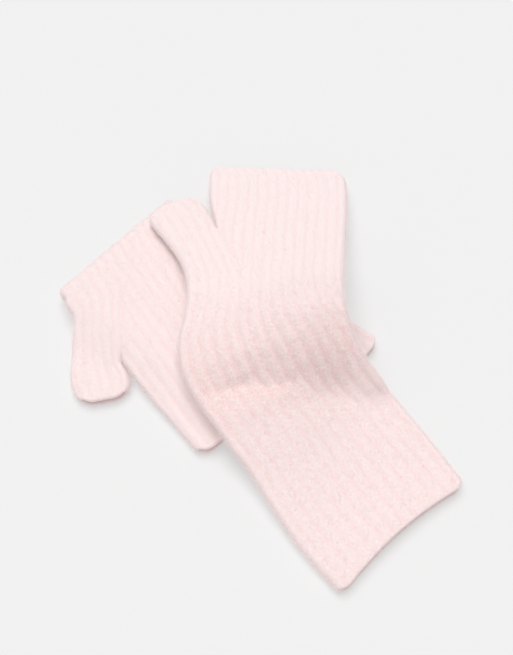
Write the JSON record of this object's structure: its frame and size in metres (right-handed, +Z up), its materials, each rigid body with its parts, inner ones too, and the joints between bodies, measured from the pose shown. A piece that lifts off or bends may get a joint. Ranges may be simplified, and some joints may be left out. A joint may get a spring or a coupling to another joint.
{
  "type": "pair of fingerless mittens",
  "caption": "Long rib-knit fingerless mittens with open half thumbs, one folded in two on a flat surface and the other laid across it in a soft hump.",
  "frame": {"origin": "centre of the pair's bounding box in plan, on the surface that the mittens lie on", "axes": "+Z up from the surface; +Y in plan along the upper mitten's hand, towards its finger end; +X to the side that its wrist half turns to"},
  "size_m": [0.2518, 0.3058, 0.0503],
  "materials": {
    "rib_knit": "pale pink brushed wool-blend yarn, knitted in ribs, soft, fuzzy and matt"
  },
  "bodies": {
    "root": {"upper_mitten_body": "rib_knit", "upper_mitten_thumb": "rib_knit", "lower_mitten_body": "rib_knit", "lower_mitten_thumb": "rib_knit"}
  },
  "joints": []
}
